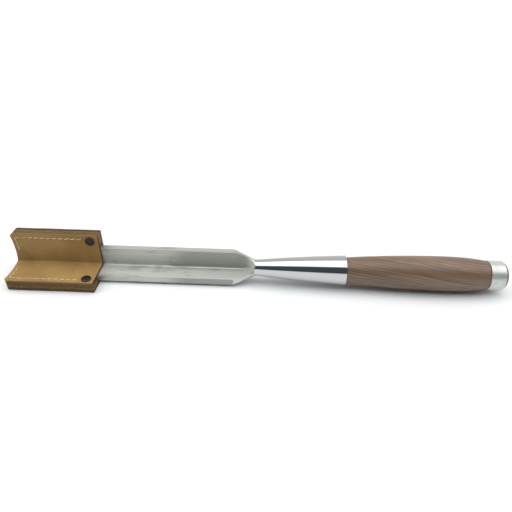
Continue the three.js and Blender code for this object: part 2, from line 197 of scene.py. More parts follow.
class Graph:
    """The nodes of one material or world."""

    def __init__(self, owner: bpy.types.Material | bpy.types.World, place: str = "Object") -> None:
        """Clears the nodes of their owner.

        Args:
            owner: The material or world.
            place: The coordinates that its patterns are read at.
        """
        owner.use_nodes = True
        self.owner = owner
        self.tree = owner.node_tree
        self.tree.nodes.clear()
        self.place = self.add("ShaderNodeTexCoord", output=place)

    def node(
        self,
        kind: str,
        settings: Mapping[str, object] | None = None,
        inputs: Mapping[int | str, object] | None = None,
    ) -> bpy.types.Node:
        """Adds any node.

        Args:
            kind: The node's type.
            settings: Its own settings. "stops" are a colour ramp's (place, colour) pairs.
            inputs: A value or a field for each socket that is set.

        Returns:
            The node.
        """
        node = self.tree.nodes.new(kind)
        for name, value in (settings or {}).items():
            if name == "stops":
                set_stops(node.color_ramp, value)
            else:
                setattr(node, name, value)
        for key, value in (inputs or {}).items():
            if isinstance(value, Field):
                self.tree.links.new(value.socket, node.inputs[key])
            else:
                node.inputs[key].default_value = value
        return node

    def add(self, kind: str, *how: Mapping, output: int | str = 0, **more: Mapping) -> Field:
        """Adds any node, as node() does, and takes one of its outputs."""
        return Field(self, self.node(kind, *how, **more).outputs[output])

    def split(self, vector: Field) -> tuple[Field, Field, Field]:
        """The X, Y and Z of a vector.

        Args:
            vector: The vector.

        Returns:
            Its three parts.
        """
        first = self.add("ShaderNodeSeparateXYZ", inputs={0: vector})
        outputs = first.socket.node.outputs
        return first, Field(self, outputs[1]), Field(self, outputs[2])

    def combined(self, x: "Field | float", y: "Field | float", z: "Field | float") -> Field:
        """A vector from three values."""
        return self.add("ShaderNodeCombineXYZ", inputs={0: x, 1: y, 2: z})

    def stretched(self, scale: tuple[float, float, float], turn: tuple[float, ...] = (0, 0, 0)) -> Field:
        """The place on the object, turned and then scaled along each axis."""
        return self.add(
            "ShaderNodeMapping",
            {"vector_type": "POINT"},
            {"Vector": self.place, "Rotation": turn, "Scale": scale},
        )

    def noise(self, scale: float, detail: float = 3, place: Field | None = None, warp: float = 0) -> Field:
        """Soft random variation from about 0 to 1.

        Args:
            scale: Features in a metre, or in a unit of place.
            detail: How many finer layers are added.
            place: Where it is read, if not at the place on the object.
            warp: How far the pattern is distorted by itself.

        Returns:
            The noise.
        """
        inputs = {"Vector": place or self.place, "Scale": scale, "Detail": detail, "Distortion": warp}
        return self.add("ShaderNodeTexNoise", inputs=inputs)

    def cells(self, scale: float, feature: str = "F1", place: Field | None = None) -> Field:
        """The distance to the nearest of many scattered points, for pebbled grain."""
        inputs = {"Vector": place or self.place, "Scale": scale}
        return self.add("ShaderNodeTexVoronoi", {"feature": feature}, inputs, output="Distance")

    def mix(self, share: Field, first: object, second: object) -> Field:
        """A colour between two colours."""
        return self.add("ShaderNodeMix", {"data_type": "RGBA"}, {0: share, 6: first, 7: second}, output=2)

    def ramp(self, share: Field, stops: Sequence[tuple[float, Colour]]) -> Field:
        """A colour read off a ramp."""
        return self.add("ShaderNodeValToRGB", {"stops": stops}, {0: share})

    def bump(self, height: Field, depth: float) -> Field:
        """A surface normal for a relief whose height goes from 0 to 1 over a depth in metres."""
        inputs = {"Height": height, "Distance": depth, "Strength": 1.0}
        return self.add("ShaderNodeBump", inputs=inputs, output="Normal")

    def surface(self, **sockets: object) -> bpy.types.Material:
        """Ends the material in a Principled BSDF.

        Args:
            sockets: A value or a field for each socket, with _ for each space in its name.

        Returns:
            The material.
        """
        inputs = {name.replace("_", " "): value for name, value in sockets.items()}
        shader = self.add("ShaderNodeBsdfPrincipled", inputs=inputs)
        self.node("ShaderNodeOutputMaterial", inputs={"Surface": shader})
        return self.owner


def material_graph(name: str) -> Graph:
    """The nodes of a new material."""
    return Graph(bpy.data.materials.new(name))


def set_stops(ramp: bpy.types.ColorRamp, stops: Sequence[tuple[float, Colour]]) -> None:
    """Gives a colour ramp its stops, in order."""
    while len(ramp.elements) < len(stops):
        ramp.elements.new(1.0)
    for element, (place, colour) in zip(ramp.elements, stops):
        element.position = place
        element.color = colour


# ---- Modelling -------------------------------------------------------------------------------------------


def deselect_all() -> None:
    """Leaves nothing selected."""
    bpy.ops.object.select_all(action="DESELECT")


def take(piece: bpy.types.Object) -> None:
    """Makes one piece the only one selected, and active.

    Args:
        piece: The piece.
    """
    deselect_all()
    piece.select_set(True)
    bpy.context.view_layer.objects.active = piece


def start(name: str, primitive: Callable[..., set[str]], **how: object) -> bpy.types.Object:
    """Adds a primitive as a new piece, with its place in its mesh.

    Args:
        name: The piece's name.
        primitive: The operator that adds it.
        how: The operator's settings.

    Returns:
        The piece.
    """
    deselect_all()
    primitive(**how)
    piece = bpy.context.active_object
    piece.name = piece.data.name = name
    bpy.ops.object.transform_apply(location=True, rotation=True, scale=True)
    return piece


def block(name: str, low: Vector, high: Vector) -> bpy.types.Object:
    """A cube primitive stretched between two corners."""
    size = high - low
    return start(name, bpy.ops.mesh.primitive_cube_add, size=1, location=(low + high) / 2, scale=size)


class Bench:
    """A piece in edit mode, for as long as the with-block lasts."""

    def __init__(self, piece: bpy.types.Object) -> None:
        """Takes the piece to work on."""
        self.piece = piece

    def __enter__(self) -> "Bench":
        """Goes into edit mode.

        Returns:
            The bench itself.
        """
        take(self.piece)
        bpy.ops.object.mode_set(mode="EDIT")
        return self

    def __exit__(self, *_: object) -> None:
        """Goes back to object mode."""
        bpy.ops.object.mode_set(mode="OBJECT")

    def pick_edges(self, test: Callable[[Vector, Vector], bool]) -> None:
        """Selects only the edges whose two ends pass the test."""
        self._pick("EDGE", lambda mesh: mesh.edges, lambda e: test(e.verts[0].co, e.verts[1].co))

    def pick_faces(self, test: Callable[[Vector, Vector], bool]) -> None:
        """Selects only the faces whose centre and normal pass the test."""
        self._pick("FACE", lambda mesh: mesh.faces, lambda f: test(f.calc_center_median(), f.normal))

    def _pick(
        self, kind: str, parts: Callable[[bmesh.types.BMesh], Sequence], test: Callable[[object], bool]
    ) -> None:
        """Selects the edges or faces that pass a test, and nothing else.

        Args:
            kind: The select mode, "EDGE" or "FACE".
            parts: Gives the mesh's edges or faces.
            test: Says whether one of them is selected.
        """
        bpy.ops.mesh.select_mode(type=kind)
        bpy.ops.mesh.select_all(action="DESELECT")
        mesh = bmesh.from_edit_mesh(self.piece.data)
        mesh.normal_update()
        for element in parts(mesh):
            if test(element):
                element.select_set(True)
        mesh.select_flush_mode()
        bmesh.update_edit_mesh(self.piece.data)

    def extrude(self, move: Sequence[float]) -> None:
        """Extrudes what is selected and moves it."""
        bpy.ops.mesh.extrude_region_move(TRANSFORM_OT_translate={"value": move})

    def draw_out(self, origin: Vector, along: Vector, outline: Outline) -> None:
        """Extrudes the selected ring through the rest of an outline.

        Args:
            origin: A point on the axis, from which the outline is measured.
            along: The axis, which is X, Y or Z, either way.
            outline: The (distance, radius) stations.
        """
        for (d0, r0), (d1, r1) in pairwise(outline):
            self.extrude(along * (d1 - d0))
            value = [1 if abs(part) > 0.5 else r1 / r0 for part in along]
            bpy.ops.transform.resize(value=value, center_override=origin + along * d1)

    def turn(self, angle: float, axis: str, centre: Vector) -> None:
        """Turns what is selected by an angle in radians about a world axis through a point."""
        bpy.ops.transform.rotate(value=-angle, orient_axis=axis, center_override=centre)

    def face_up(self) -> None:
        """Turns an open sheet over if its first level face looks down."""
        mesh = bmesh.from_edit_mesh(self.piece.data)
        mesh.normal_update()
        level = next(face for face in mesh.faces if abs(face.normal.z) > 0.9)
        if level.normal.z < 0:
            bpy.ops.mesh.select_all(action="SELECT")
            bpy.ops.mesh.flip_normals()

    def clean(self, distance: float = mm(0.002)) -> None:
        """Merges doubled points and turns every face outwards.

        Args:
            distance: How near two points are merged.
        """
        bpy.ops.mesh.select_all(action="SELECT")
        bpy.ops.mesh.remove_doubles(threshold=distance)
        bpy.ops.mesh.normals_make_consistent(inside=False)

    def soften_sharp(self, width: float, segments: int = 2, sharper_than: float = 30) -> None:
        """Bevels each edge that is sharper than an angle in degrees.

        Args:
            width: The bevel's width.
            segments: How many faces it has across.
            sharper_than: The least angle that is bevelled, in degrees.
        """
        bpy.ops.mesh.select_mode(type="EDGE")
        bpy.ops.mesh.select_all(action="DESELECT")
        bpy.ops.mesh.edges_select_sharp(sharpness=math.radians(sharper_than))
        bpy.ops.mesh.bevel(offset=width, segments=segments, profile=0.5, affect="EDGES", clamp_overlap=True)


def change(piece: bpy.types.Object, kind: str, **settings: object) -> None:
    """Adds one modifier to a piece and applies it.

    Args:
        piece: The piece.
        kind: The modifier's type.
        settings: The modifier's settings.
    """
    take(piece)
    modifier = piece.modifiers.new(kind.lower(), kind)
    for name, value in settings.items():
        setattr(modifier, name, value)
    bpy.ops.object.modifier_apply(modifier=modifier.name)


def cut(piece: bpy.types.Object, *tools: bpy.types.Object) -> None:
    """Takes the shape of each tool out of the piece, and removes the tools."""
    for tool in tools:
        change(piece, "BOOLEAN", operation="DIFFERENCE", object=tool, solver="EXACT")
        bpy.data.objects.remove(tool)


def smooth(piece: bpy.types.Object, angle: float = 30) -> None:
    """Shades a piece smooth up to an angle in degrees, with its flat faces kept flat.

    Args:
        piece: The piece.
        angle: The sharpest edge that is smoothed, in degrees.
    """
    take(piece)
    bpy.ops.object.shade_smooth_by_angle(angle=math.radians(angle))
    change(piece, "WEIGHTED_NORMAL", mode="FACE_AREA", weight=50, keep_sharp=True)


def turned(
    name: str, origin: Vector, along: Vector, outline: Outline, sides: int = 96, ring: bool = False
) -> bpy.types.Object:
    """A round piece drawn out along an axis.

    Args:
        name: The piece's name.
        origin: A point on its axis, from which the outline is measured.
        along: Its axis, which is X, Y or Z, either way.
        outline: Its (distance, radius) stations, from one end to the other, or round a ring and back.
        sides: Points round it.
        ring: Whether it is a ring, open through its middle.

    Returns:
        The piece.
    """
    distance, radius = outline[0]
    piece = start(
        name,
        bpy.ops.mesh.primitive_circle_add,
        vertices=sides,
        radius=radius,
        fill_type="NOTHING" if ring else "NGON",
        location=origin + along * distance,
        rotation=along.to_track_quat("Z", "Y").to_euler(),
    )
    with Bench(piece) as bench:
        bpy.ops.mesh.select_all(action="SELECT")
        bench.draw_out(origin, along, outline)
        bench.clean()
    return piece


def cord(
    name: str, points: Sequence[Vector], turn_axis: str, radius: float, strands: int = 1, twist: float = 0
) -> bpy.types.Object:
    """A round or laid cord drawn along points that lie in one plane.

    Args:
        name: The piece's name.
        points: The points that its middle follows.
        turn_axis: The axis square to the plane, "Y" or "Z".
        radius: The radius of one strand.
        strands: How many strands are laid round each other.
        twist: The lay, in radians from one point to the next.

    Returns:
        The piece.
    """
    angles = [heading(a, b, turn_axis) for a, b in pairwise(points)]
    facings = [angles[0], *((a + b) / 2 for a, b in pairwise(angles)), angles[-1]]
    offset = radius * 0.95 if strands > 1 else 0
    for strand in range(strands):
        spoke = math.tau * strand / strands
        centre = points[0] + Vector((0, offset * math.cos(spoke), offset * math.sin(spoke)))
        how = {"vertices": 8, "radius": radius, "location": centre, "rotation": (0, math.pi / 2, 0)}
        if strand == 0:
            piece = start(name, bpy.ops.mesh.primitive_circle_add, **how)
            bpy.ops.object.mode_set(mode="EDIT")
        else:
            bpy.ops.mesh.primitive_circle_add(**how)
    bpy.ops.object.mode_set(mode="OBJECT")
    with Bench(piece) as bench:
        bpy.ops.mesh.select_mode(type="EDGE")
        bpy.ops.mesh.select_all(action="SELECT")
        bench.turn(facings[0], turn_axis, points[0])
        for (a, b), (facing, new_facing) in zip(pairwise(points), pairwise(facings)):
            bench.extrude(b - a)
            bench.turn(new_facing - facing, turn_axis, b)
            if twist:
                bench.turn(twist, "X", b)
        bpy.ops.mesh.select_all(action="SELECT")
        bpy.ops.mesh.fill_holes(sides=8)
        bench.clean(mm(0.001))
    return piece


def heading(a: Vector, b: Vector, turn_axis: str) -> float:
    """The angle about the turning axis from +X to the direction from a to b."""
    step = b - a
    return math.atan2(step.y, step.x) if turn_axis == "Z" else math.atan2(-step.z, step.x)


def twin(piece: bpy.types.Object, name: str, place: Matrix) -> bpy.types.Object:
    """A copy of a piece with its own mesh, put in its place.

    Args:
        piece: The piece that is copied.
        name: The copy's name.
        place: Where its mesh is moved to.

    Returns:
        The copy.
    """
    other = piece.copy()
    other.data = piece.data.copy()
    other.name = other.data.name = name
    other.data.transform(place)
    bpy.context.scene.collection.objects.link(other)
    return other


def joined(name: str, pieces: Sequence[bpy.types.Object]) -> bpy.types.Object:
    """Joins pieces that lie apart into one object.

    Args:
        name: The object's name.
        pieces: The pieces.

    Returns:
        The object.
    """
    take(pieces[0])
    for piece in pieces:
        piece.select_set(True)
    bpy.ops.object.join()
    piece = bpy.context.active_object
    piece.name = piece.data.name = name
    return piece


def dressed(
    piece: bpy.types.Object, body: Body, slot: Slot, finish: bpy.types.Material, *nodes: str
) -> bpy.types.Object:
    """Gives a finished piece its material, its body and the CAD nodes that it stands for.

    Args:
        piece: The piece.
        body: The body that it rides on.
        slot: The record's slot for its finish; not used.
        finish: Its material.
        nodes: The CAD nodes that it replaces.

    Returns:
        The piece.
    """
    piece.data.materials.clear()
    piece.data.materials.append(finish)
    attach(piece, body.value)
    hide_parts(*nodes)
    log.info("%s: %d faces, on %s", piece.name, len(piece.data.polygons), body.value)
    return piece


# ---- Finishes --------------------------------------------------------------------------------------------


@dataclass(frozen=True)
class ForgedSteel:
    """Steel ground satin along its length, and polished bright outside from its shoulders onwards, with painted
    shade on the faces that look to the front and along the wall's top edge.
    """

    shoulder: float
    neck: float
    top: float
    ground: Colour = (0.64, 0.65, 0.605, 1)
    # The dark colour that both the real stains and the painted shade blend towards.
    stain_and_shade_colour: Colour = (0.34, 0.34, 0.31, 1)
    polished: Colour = (0.57, 0.58, 0.575, 1)
    ground_roughness: float = 0.44
    polished_roughness: float = 0.06

    def make(self) -> bpy.types.Material:
        """Makes the material.

        Returns:
            The material.
        """
        graph = material_graph("forged_steel")
        x, _, z = graph.split(graph.place)
        ahead, back, _ = graph.split(graph.add("ShaderNodeTexCoord", output="Normal"))
        outside = x.rise(self.shoulder - mm(1), self.shoulder) * ahead.rise(0.03, 0.09)
        bright = outside.greatest(x.rise(self.neck - mm(2.5), self.neck - mm(0.5)))
        satin = 1 - bright
        lines = graph.noise(1, detail=4, place=graph.stretched((22, 2200, 2200)))
        clouds = graph.noise(34, detail=4, warp=0.5, place=graph.stretched((0.5, 1, 1)))
        # Painted shade: faces that look to the front, the wall's inner face among them, are darkened, and more
        # so towards the neck.
        toward_neck = x.rise(self.shoulder - mm(75), self.shoulder - mm(40)) * 0.55
        upright_shade = back.rise(-0.5, -0.95) * (toward_neck * 1.3 + 0.36)
        streaks = graph.noise(1, detail=3, place=graph.stretched((7, 420, 420)))
        patches = graph.noise(1, detail=5, warp=0.8, place=graph.stretched((38, 95, 95)))
        mottle = patches.rise(0.5, 0.66) * clouds.rise(0.42, 0.6) * 0.6
        # Painted shade along the top edge of the wall, standing in for a dark reflection there.
        top = z.rise(self.top - mm(0.8), self.top - mm(0.2)) * 0.5
        # Random stains and streaks, summed with the painted shade.
        stain_and_shade = (mottle + upright_shade + (streaks - 0.42) * 0.7 + top) * satin
        colour = graph.mix(stain_and_shade.greatest(0.0).least(1.0), self.ground, self.stain_and_shade_colour)
        colour = graph.mix(bright, colour, self.polished)
        roughness = (self.ground_roughness + (lines - 0.5) * 0.14 + (clouds - 0.5) * 0.2) * satin
        relief = lines * (1 - bright * 0.9)
        return graph.surface(
            Base_Color=colour,
            Metallic=0.5 + bright * 0.5,
            Roughness=roughness + bright * self.polished_roughness,
            Normal=graph.bump(relief, mm(0.003)),
        )


@dataclass(frozen=True)
class PolishedSteel:
    """Steel turned and polished round its axis."""

    colour: Colour = (0.62, 0.63, 0.6, 1)
    smeared: Colour = (0.4, 0.4, 0.37, 1)
    roughness: float = 0.32

    def make(self) -> bpy.types.Material:
        """Makes the material.

        Returns:
            The material.
        """
        graph = material_graph("polished_steel")
        rings = graph.noise(1, detail=3, place=graph.stretched((2600, 60, 60)))
        smears = graph.noise(90, detail=3)
        return graph.surface(
            Base_Color=graph.mix(smears.rise(0.45, 0.75) * 0.35, self.colour, self.smeared),
            Metallic=0.6,
            Roughness=self.roughness + (smears - 0.5) * 0.16,
            Normal=graph.bump(rings, mm(0.002)),
        )


@dataclass(frozen=True)
class Walnut:
    """Oiled walnut with its rings cut at a slight slant along the handle."""

    axis: Vector
    pale: Colour = (0.31, 0.19, 0.112, 1)
    middle: Colour = (0.14, 0.083, 0.047, 1)
    dark: Colour = (0.052, 0.029, 0.016, 1)
    ring_spacing: float = mm(2.6)
    slant: float = 0.13
    grain_tilt: float = math.radians(35.62)

    def make(self) -> bpy.types.Material:
        """Makes the material.

        Returns:
            The material.
        """
        graph = material_graph("walnut")
        drift = graph.noise(14, detail=3, place=graph.stretched((0.6, 1, 1)))
        x, y, z = graph.split(graph.place)
        sin, cos = math.sin(self.grain_tilt), math.cos(self.grain_tilt)
        behind, above = y - self.axis.y, z - self.axis.z
        up = behind * sin + above * cos
        side = above * sin - behind * cos
        layers = up + side * side * 4 + x * self.slant + (drift - 0.5) * mm(9)
        rings = (layers / self.ring_spacing).part()
        late_wood = rings.rise(0.3, 0.93) * (1 - rings.rise(0.93, 1.0))
        bands = graph.noise(1, detail=3, place=graph.combined(x * 9, layers * 420, 0))
        fibres = graph.noise(1, detail=4, place=graph.combined(x * 60, layers * 2400, side * 900))
        holes = graph.noise(1, detail=2, place=graph.combined(x * 150, layers * 3600, side * 2600))
        pores = holes.rise(0.64, 0.74)
        tone = late_wood * 0.22 + fibres * 0.55 + (bands - 0.5) * 1.05 + 0.08
        colour = graph.ramp(tone, [(0.0, self.pale), (0.45, self.middle), (1.0, self.dark)])
        colour = graph.mix(pores * 0.6, colour, self.dark)
        return graph.surface(
            Base_Color=colour,
            Roughness=0.4 + fibres * 0.14 + pores * 0.2,
            Normal=graph.bump(fibres * 0.4 - pores, mm(0.05)),
            Coat_Weight=0.4,
            Coat_Roughness=0.33,
        )


@dataclass(frozen=True)
class Leather:
    """Oiled leather with pebbled grain, edges that are burnished dark, and painted shade darkening it at the
    sheath's mouth.
    """

    name: str
    low: Vector
    high: Vector
    face: Colour
    rubbed: Colour
    edge: Colour
    edge_reach: float = mm(1.1)
    # Painted shade at the mouth end, where the slot lies in shadow: its strength and its near-black colour.
    mouth_shade: float = 0.2
    mouth_shade_colour: Colour = (0.012, 0.009, 0.006, 1)

    def make(self) -> bpy.types.Material:
        """Makes the material.

        Returns:
            The material.
        """
        graph = material_graph(self.name)
        x, y, z = graph.split(graph.place)
        to_edge = (x - self.low.x).least(self.high.x - x).least(y - self.low.y).least(self.high.z - z)
        ragged = to_edge + (graph.noise(420, detail=3) - 0.5) * mm(0.9)
        burnish = ragged.rise(self.edge_reach, mm(0.1))
        clouds = graph.noise(36, detail=4, warp=0.5)
        specks = graph.noise(650, detail=3)
        grain = graph.cells(1500)
        creases = graph.noise(260, detail=4, warp=1.2)
        worn = clouds.rise(0.4, 0.68)
        colour = graph.mix(worn * 0.8, self.face, self.rubbed)
        colour = graph.mix(specks.rise(0.5, 0.75) * 0.3, colour, self.edge)
        colour = graph.mix(burnish * 0.85, colour, self.edge)
        # Painted shade: the leather darkens towards a near-black colour over the last half millimetre before
        # the mouth end.
        shaded = x.rise(self.high.x - mm(0.5), self.high.x - mm(0.15)) * self.mouth_shade
        colour = graph.mix(shaded, colour, self.mouth_shade_colour)
        relief = grain * 0.45 + creases * 0.4 + specks * 0.3
        return graph.surface(
            Base_Color=colour,
            Roughness=0.68 - burnish * 0.18 + (specks - 0.5) * 0.2,
            Normal=graph.bump(relief, mm(0.12)),
            Specular_IOR_Level=0.22,
        )


@dataclass(frozen=True)
class BlackenedSteel:
    """Rivet steel, blackened and oiled, rubbed a little at the crown."""

    colour: Colour = (0.028, 0.03, 0.022, 1)
    rubbed: Colour = (0.16, 0.16, 0.13, 1)

    def make(self) -> bpy.types.Material:
        """Makes the material.

        Returns:
            The material.
        """
        graph = material_graph("blackened_steel")
        wear = graph.noise(420, detail=4).rise(0.45, 0.8)
        pits = graph.noise(1800, detail=2)
        return graph.surface(
            Base_Color=graph.mix(wear * 0.45, self.colour, self.rubbed),
            Metallic=0.85,
            Roughness=0.34 + pits * 0.2 - wear * 0.08,
            Normal=graph.bump(pits, mm(0.02)),
        )


@dataclass(frozen=True)
class WaxedThread:
    """Cream linen thread, waxed, soiled where it dips into the leather."""

    clean: Colour = (0.8, 0.71, 0.47, 1)
    soiled: Colour = (0.42, 0.3, 0.15, 1)

    def make(self) -> bpy.types.Material:
        """Makes the material.

        Returns:
            The material.
        """
        graph = material_graph("waxed_thread")
        soil = graph.noise(240, detail=3).rise(0.5, 0.75)
        fuzz = graph.noise(5200, detail=2)
        return graph.surface(
            Base_Color=graph.mix(soil * 0.6, self.clean, self.soiled),
            Roughness=0.55 + fuzz * 0.2,
            Normal=graph.bump(fuzz, mm(0.05)),
        )


# ---- The chisel ------------------------------------------------------------------------------------------


@dataclass
class Blade:
    """The forging: an L-section blade whose shoulders gather into a neck and open again as a socket."""

    width: float = mm(25.4)
    thickness: float = mm(6.35)
    shoulder: float = mm(210)
    neck: float = mm(232.5)
    neck_radius: float = mm(8)
    mouth_radius: float = mm(14.9)
    socket_swell: float = mm(0.7)
    socket_wall: float = mm(2.4)
    bore_end_radius: float = mm(6.2)
    bore_depth: float = mm(68)
    axis_offset: float = mm(14.4)
    bevel_slope: float = math.tan(math.radians(30))
    edge_flat: float = mm(0.05)
    trough_radius: float = mm(2)
    scoop: float = 2.7
    scoop_narrowing: float = 0.9
    edge_narrowing: float = 0.15
    run_out: float = mm(2)
    lip: float = mm(0.5)
    rim: float = mm(0.35)
    neck_softening: float = mm(1.5)
    sides: int = 72
    wall_cuts: int = 15
    end_cuts: int = 3
    slant_cuts: int = 31
    shoulder_cuts: int = 11
    steps: int = 14

    def __post_init__(self) -> None:
        """Takes the blade's place from the frame."""
        low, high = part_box("blade")
        hoop_low, hoop_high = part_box("hoop")
        self.axis = (hoop_low + hoop_high) / 2
        self.axis_start = Vector((0, self.axis.y, self.axis.z))
        self.start = low.x
        self.mouth = high.x
        self.corner = Vector((low.x, self.axis.y + self.axis_offset, self.axis.z - self.axis_offset))

    def at(self, x: float, across: float, up: float) -> Vector:
        """A place from the cutting edge and the outer corner: along, towards the front, and up."""
        return self.corner + Vector((x, -across, up))

    def _section(self) -> bpy.types.Object:
        """The blade's outer section at the shoulder, as a loop of edges with as many points as the neck.

        Returns:
            The loop.
        """
        half = self.width / 2
        piece = start(
            "blade_forging",
            bpy.ops.mesh.primitive_plane_add,
            size=self.width,
            location=self.at(self.shoulder, half, half),
            rotation=(0, math.pi / 2, 0),
        )
        with Bench(piece) as bench:
            bpy.ops.mesh.select_all(action="SELECT")
            bpy.ops.mesh.bisect(
                plane_co=self.at(self.shoulder, self.width, self.thickness),
                plane_no=(0, -1, 1),
                clear_outer=True,
            )
            bench.pick_faces(lambda centre, normal: True)
            bpy.ops.mesh.delete(type="ONLY_FACE")
            for length, cuts in ((self.width, self.wall_cuts), (self.thickness, self.end_cuts)):
                bench.pick_edges(lambda a, b: abs((a - b).length - length) < mm(0.01))
                bpy.ops.mesh.subdivide(number_cuts=cuts)
            bench.pick_edges(lambda a, b: (a - b).length > self.thickness)
            bpy.ops.mesh.subdivide(number_cuts=self.slant_cuts)
        return piece

    def _socket_outline(self) -> list[tuple[float, float]]:
        """The socket's (x, radius) stations from the neck, over its lip and down its bore.

        Returns:
            The stations.
        """
        neck_x = self.start + self.neck
        lip = self.lip
        outline = []
        for i in range(self.steps + 1):
            share = i / self.steps
            swell = self.socket_swell * 4 * share * (1 - share)
            radius = lerp(self.neck_radius, self.mouth_radius, share) + swell
            outline.append((lerp(neck_x, self.mouth - lip, share), radius))
        bore = self.mouth_radius - self.socket_wall
        outline += [
            (self.mouth - lip * 0.3, self.mouth_radius - lip * 0.3),
            (self.mouth, self.mouth_radius - lip),
            (self.mouth, bore + lip * 0.6),
            (self.mouth - lip * 0.6, bore),
            (self.mouth - self.bore_depth, self.bore_end_radius),
        ]
        return outline

    def _forging(self) -> bpy.types.Object:
        """The blade before its trough is ground: a solid bar, shoulders, neck and bored socket.

        Returns:
            The bar.
        """
        piece = self._section()
        shoulder_x = self.start + self.shoulder
        neck_x = self.start + self.neck
        with Bench(piece) as bench:
            bpy.ops.mesh.select_mode(type="EDGE")
            bpy.ops.mesh.select_all(action="SELECT")
            bench.extrude((-self.shoulder, 0, 0))
            bpy.ops.mesh.edge_face_add()
            bpy.ops.mesh.primitive_circle_add(
                vertices=self.sides,
                radius=self.neck_radius,
                location=(neck_x, self.axis.y, self.axis.z),
                rotation=(0, math.pi / 2, 0),
            )
            ends = (shoulder_x, neck_x)
            bench.pick_edges(lambda a, b: near(a.x, b.x) and any(near(a.x, end) for end in ends))
            bpy.ops.mesh.bridge_edge_loops(number_cuts=self.shoulder_cuts, interpolation="LINEAR")
            bench.pick_edges(lambda a, b: near(a.x, neck_x) and near(b.x, neck_x))
            bench.draw_out(self.axis_start, AHEAD, self._socket_outline())
            bpy.ops.mesh.edge_face_add()
            bench.pick_edges(lambda a, b: near(a.x, neck_x) and near(b.x, neck_x))
            bpy.ops.mesh.bevel(offset=self.neck_softening, segments=4, profile=0.5, affect="EDGES")
            bench.clean()
        return piece

    def _wheel(self) -> bpy.types.Object:
        """The shape that grinding takes out: the trough, with its bevel at the edge and its scoop at the neck.

        Returns:
            The cutter.
        """
        reach = self.width * 1.6
        bevel_length = (self.thickness - self.edge_flat) / self.bevel_slope
        low = self.at(bevel_length, reach, self.thickness)
        high = self.at(self.shoulder, self.thickness, reach)
        piece = block("trough_wheel", low, high)
        end_depth = self.axis_offset + self.neck_radius * math.cos(math.pi / 4)
        shares = [i / self.steps for i in range(self.steps + 1)]
        depths = [lerp(self.thickness, end_depth, share**self.scoop) for share in shares]
        shrink = [1 - self.scoop_narrowing * share for share in shares]
        step = (self.neck - self.shoulder) / self.steps
        with Bench(piece) as bench:
            inner = self.at(0, self.thickness, self.thickness)
            bench.pick_edges(lambda a, b: all(near(p.y, inner.y) and near(p.z, inner.z) for p in (a, b)))
            bpy.ops.mesh.bevel(offset=self.trough_radius, segments=8, profile=0.5, affect="EDGES")

            edge_x = self.start + bevel_length
            bench.pick_faces(lambda centre, normal: normal.x < -0.9 and near(centre.x, edge_x))
            fall = (bevel_length + self.run_out) * self.bevel_slope
            bench.extrude((-bevel_length - self.run_out, fall, -fall))
            self._narrow(bench, -self.run_out, self.thickness - fall, self.edge_narrowing)

            shoulder_x = self.start + self.shoulder
            bench.pick_faces(lambda centre, normal: normal.x > 0.9 and near(centre.x, shoulder_x))
            for i, (depth, deeper) in enumerate(pairwise(depths)):
                climb = deeper - depth
                bench.extrude((step, -climb, climb))
                self._narrow(bench, self.shoulder + step * (i + 1), deeper, shrink[i + 1] / shrink[i])
            climb = depths[-1] - depths[-2]
            bench.extrude((step, -climb, climb))
            bench.clean()
        return piece

    def _narrow(self, bench: Bench, x: float, depth: float, scale: float) -> None:
        """Tightens the trough's rounding on the selected end of the wheel.

        Args:
            bench: The wheel, with its end face selected.
            x: Where the end is, from the cutting edge.
            depth: How far the trough's floor stands from the blade's outer faces there.
            scale: By how much the rounding shrinks towards its corner.
        """
        corner = self.at(x, depth, depth)
        reach = self.trough_radius * 1.05
        data = bench.piece.data
        mesh = bmesh.from_edit_mesh(data)
        chosen = {f for f in mesh.faces if f.select}
        bpy.ops.mesh.select_mode(type="VERT")
        for vert in mesh.verts:
            inside = abs(vert.co.y - corner.y) < reach and abs(vert.co.z - corner.z) < reach
            vert.select_set(near(vert.co.x, corner.x) and inside)
        bmesh.update_edit_mesh(data)
        bpy.ops.transform.resize(value=(1, scale, scale), center_override=corner)
        bpy.ops.mesh.select_mode(type="FACE")
        bpy.ops.mesh.select_all(action="DESELECT")
        for face in chosen:
            face.select_set(True)
        bmesh.update_edit_mesh(data)

    def build(self) -> bpy.types.Object:
        """Grinds the trough out of the forging and softens its edges.

        Returns:
            The blade.
        """
        piece = self._forging()
        cut(piece, self._wheel())
        shoulder_x = self.start + self.shoulder
        with Bench(piece) as bench:
            bench.clean(mm(0.004))
            bench.pick_faces(lambda centre, normal: centre.x < shoulder_x)
            bpy.ops.mesh.dissolve_limited(angle_limit=math.radians(0.5))
            bench.soften_sharp(self.rim, segments=2)
            bench.clean()
        smooth(piece)
        return piece


def near(a: float, b: float) -> bool:
    """Whether two places are the same to a hundredth of a millimetre."""
    return abs(a - b) < mm(0.01)


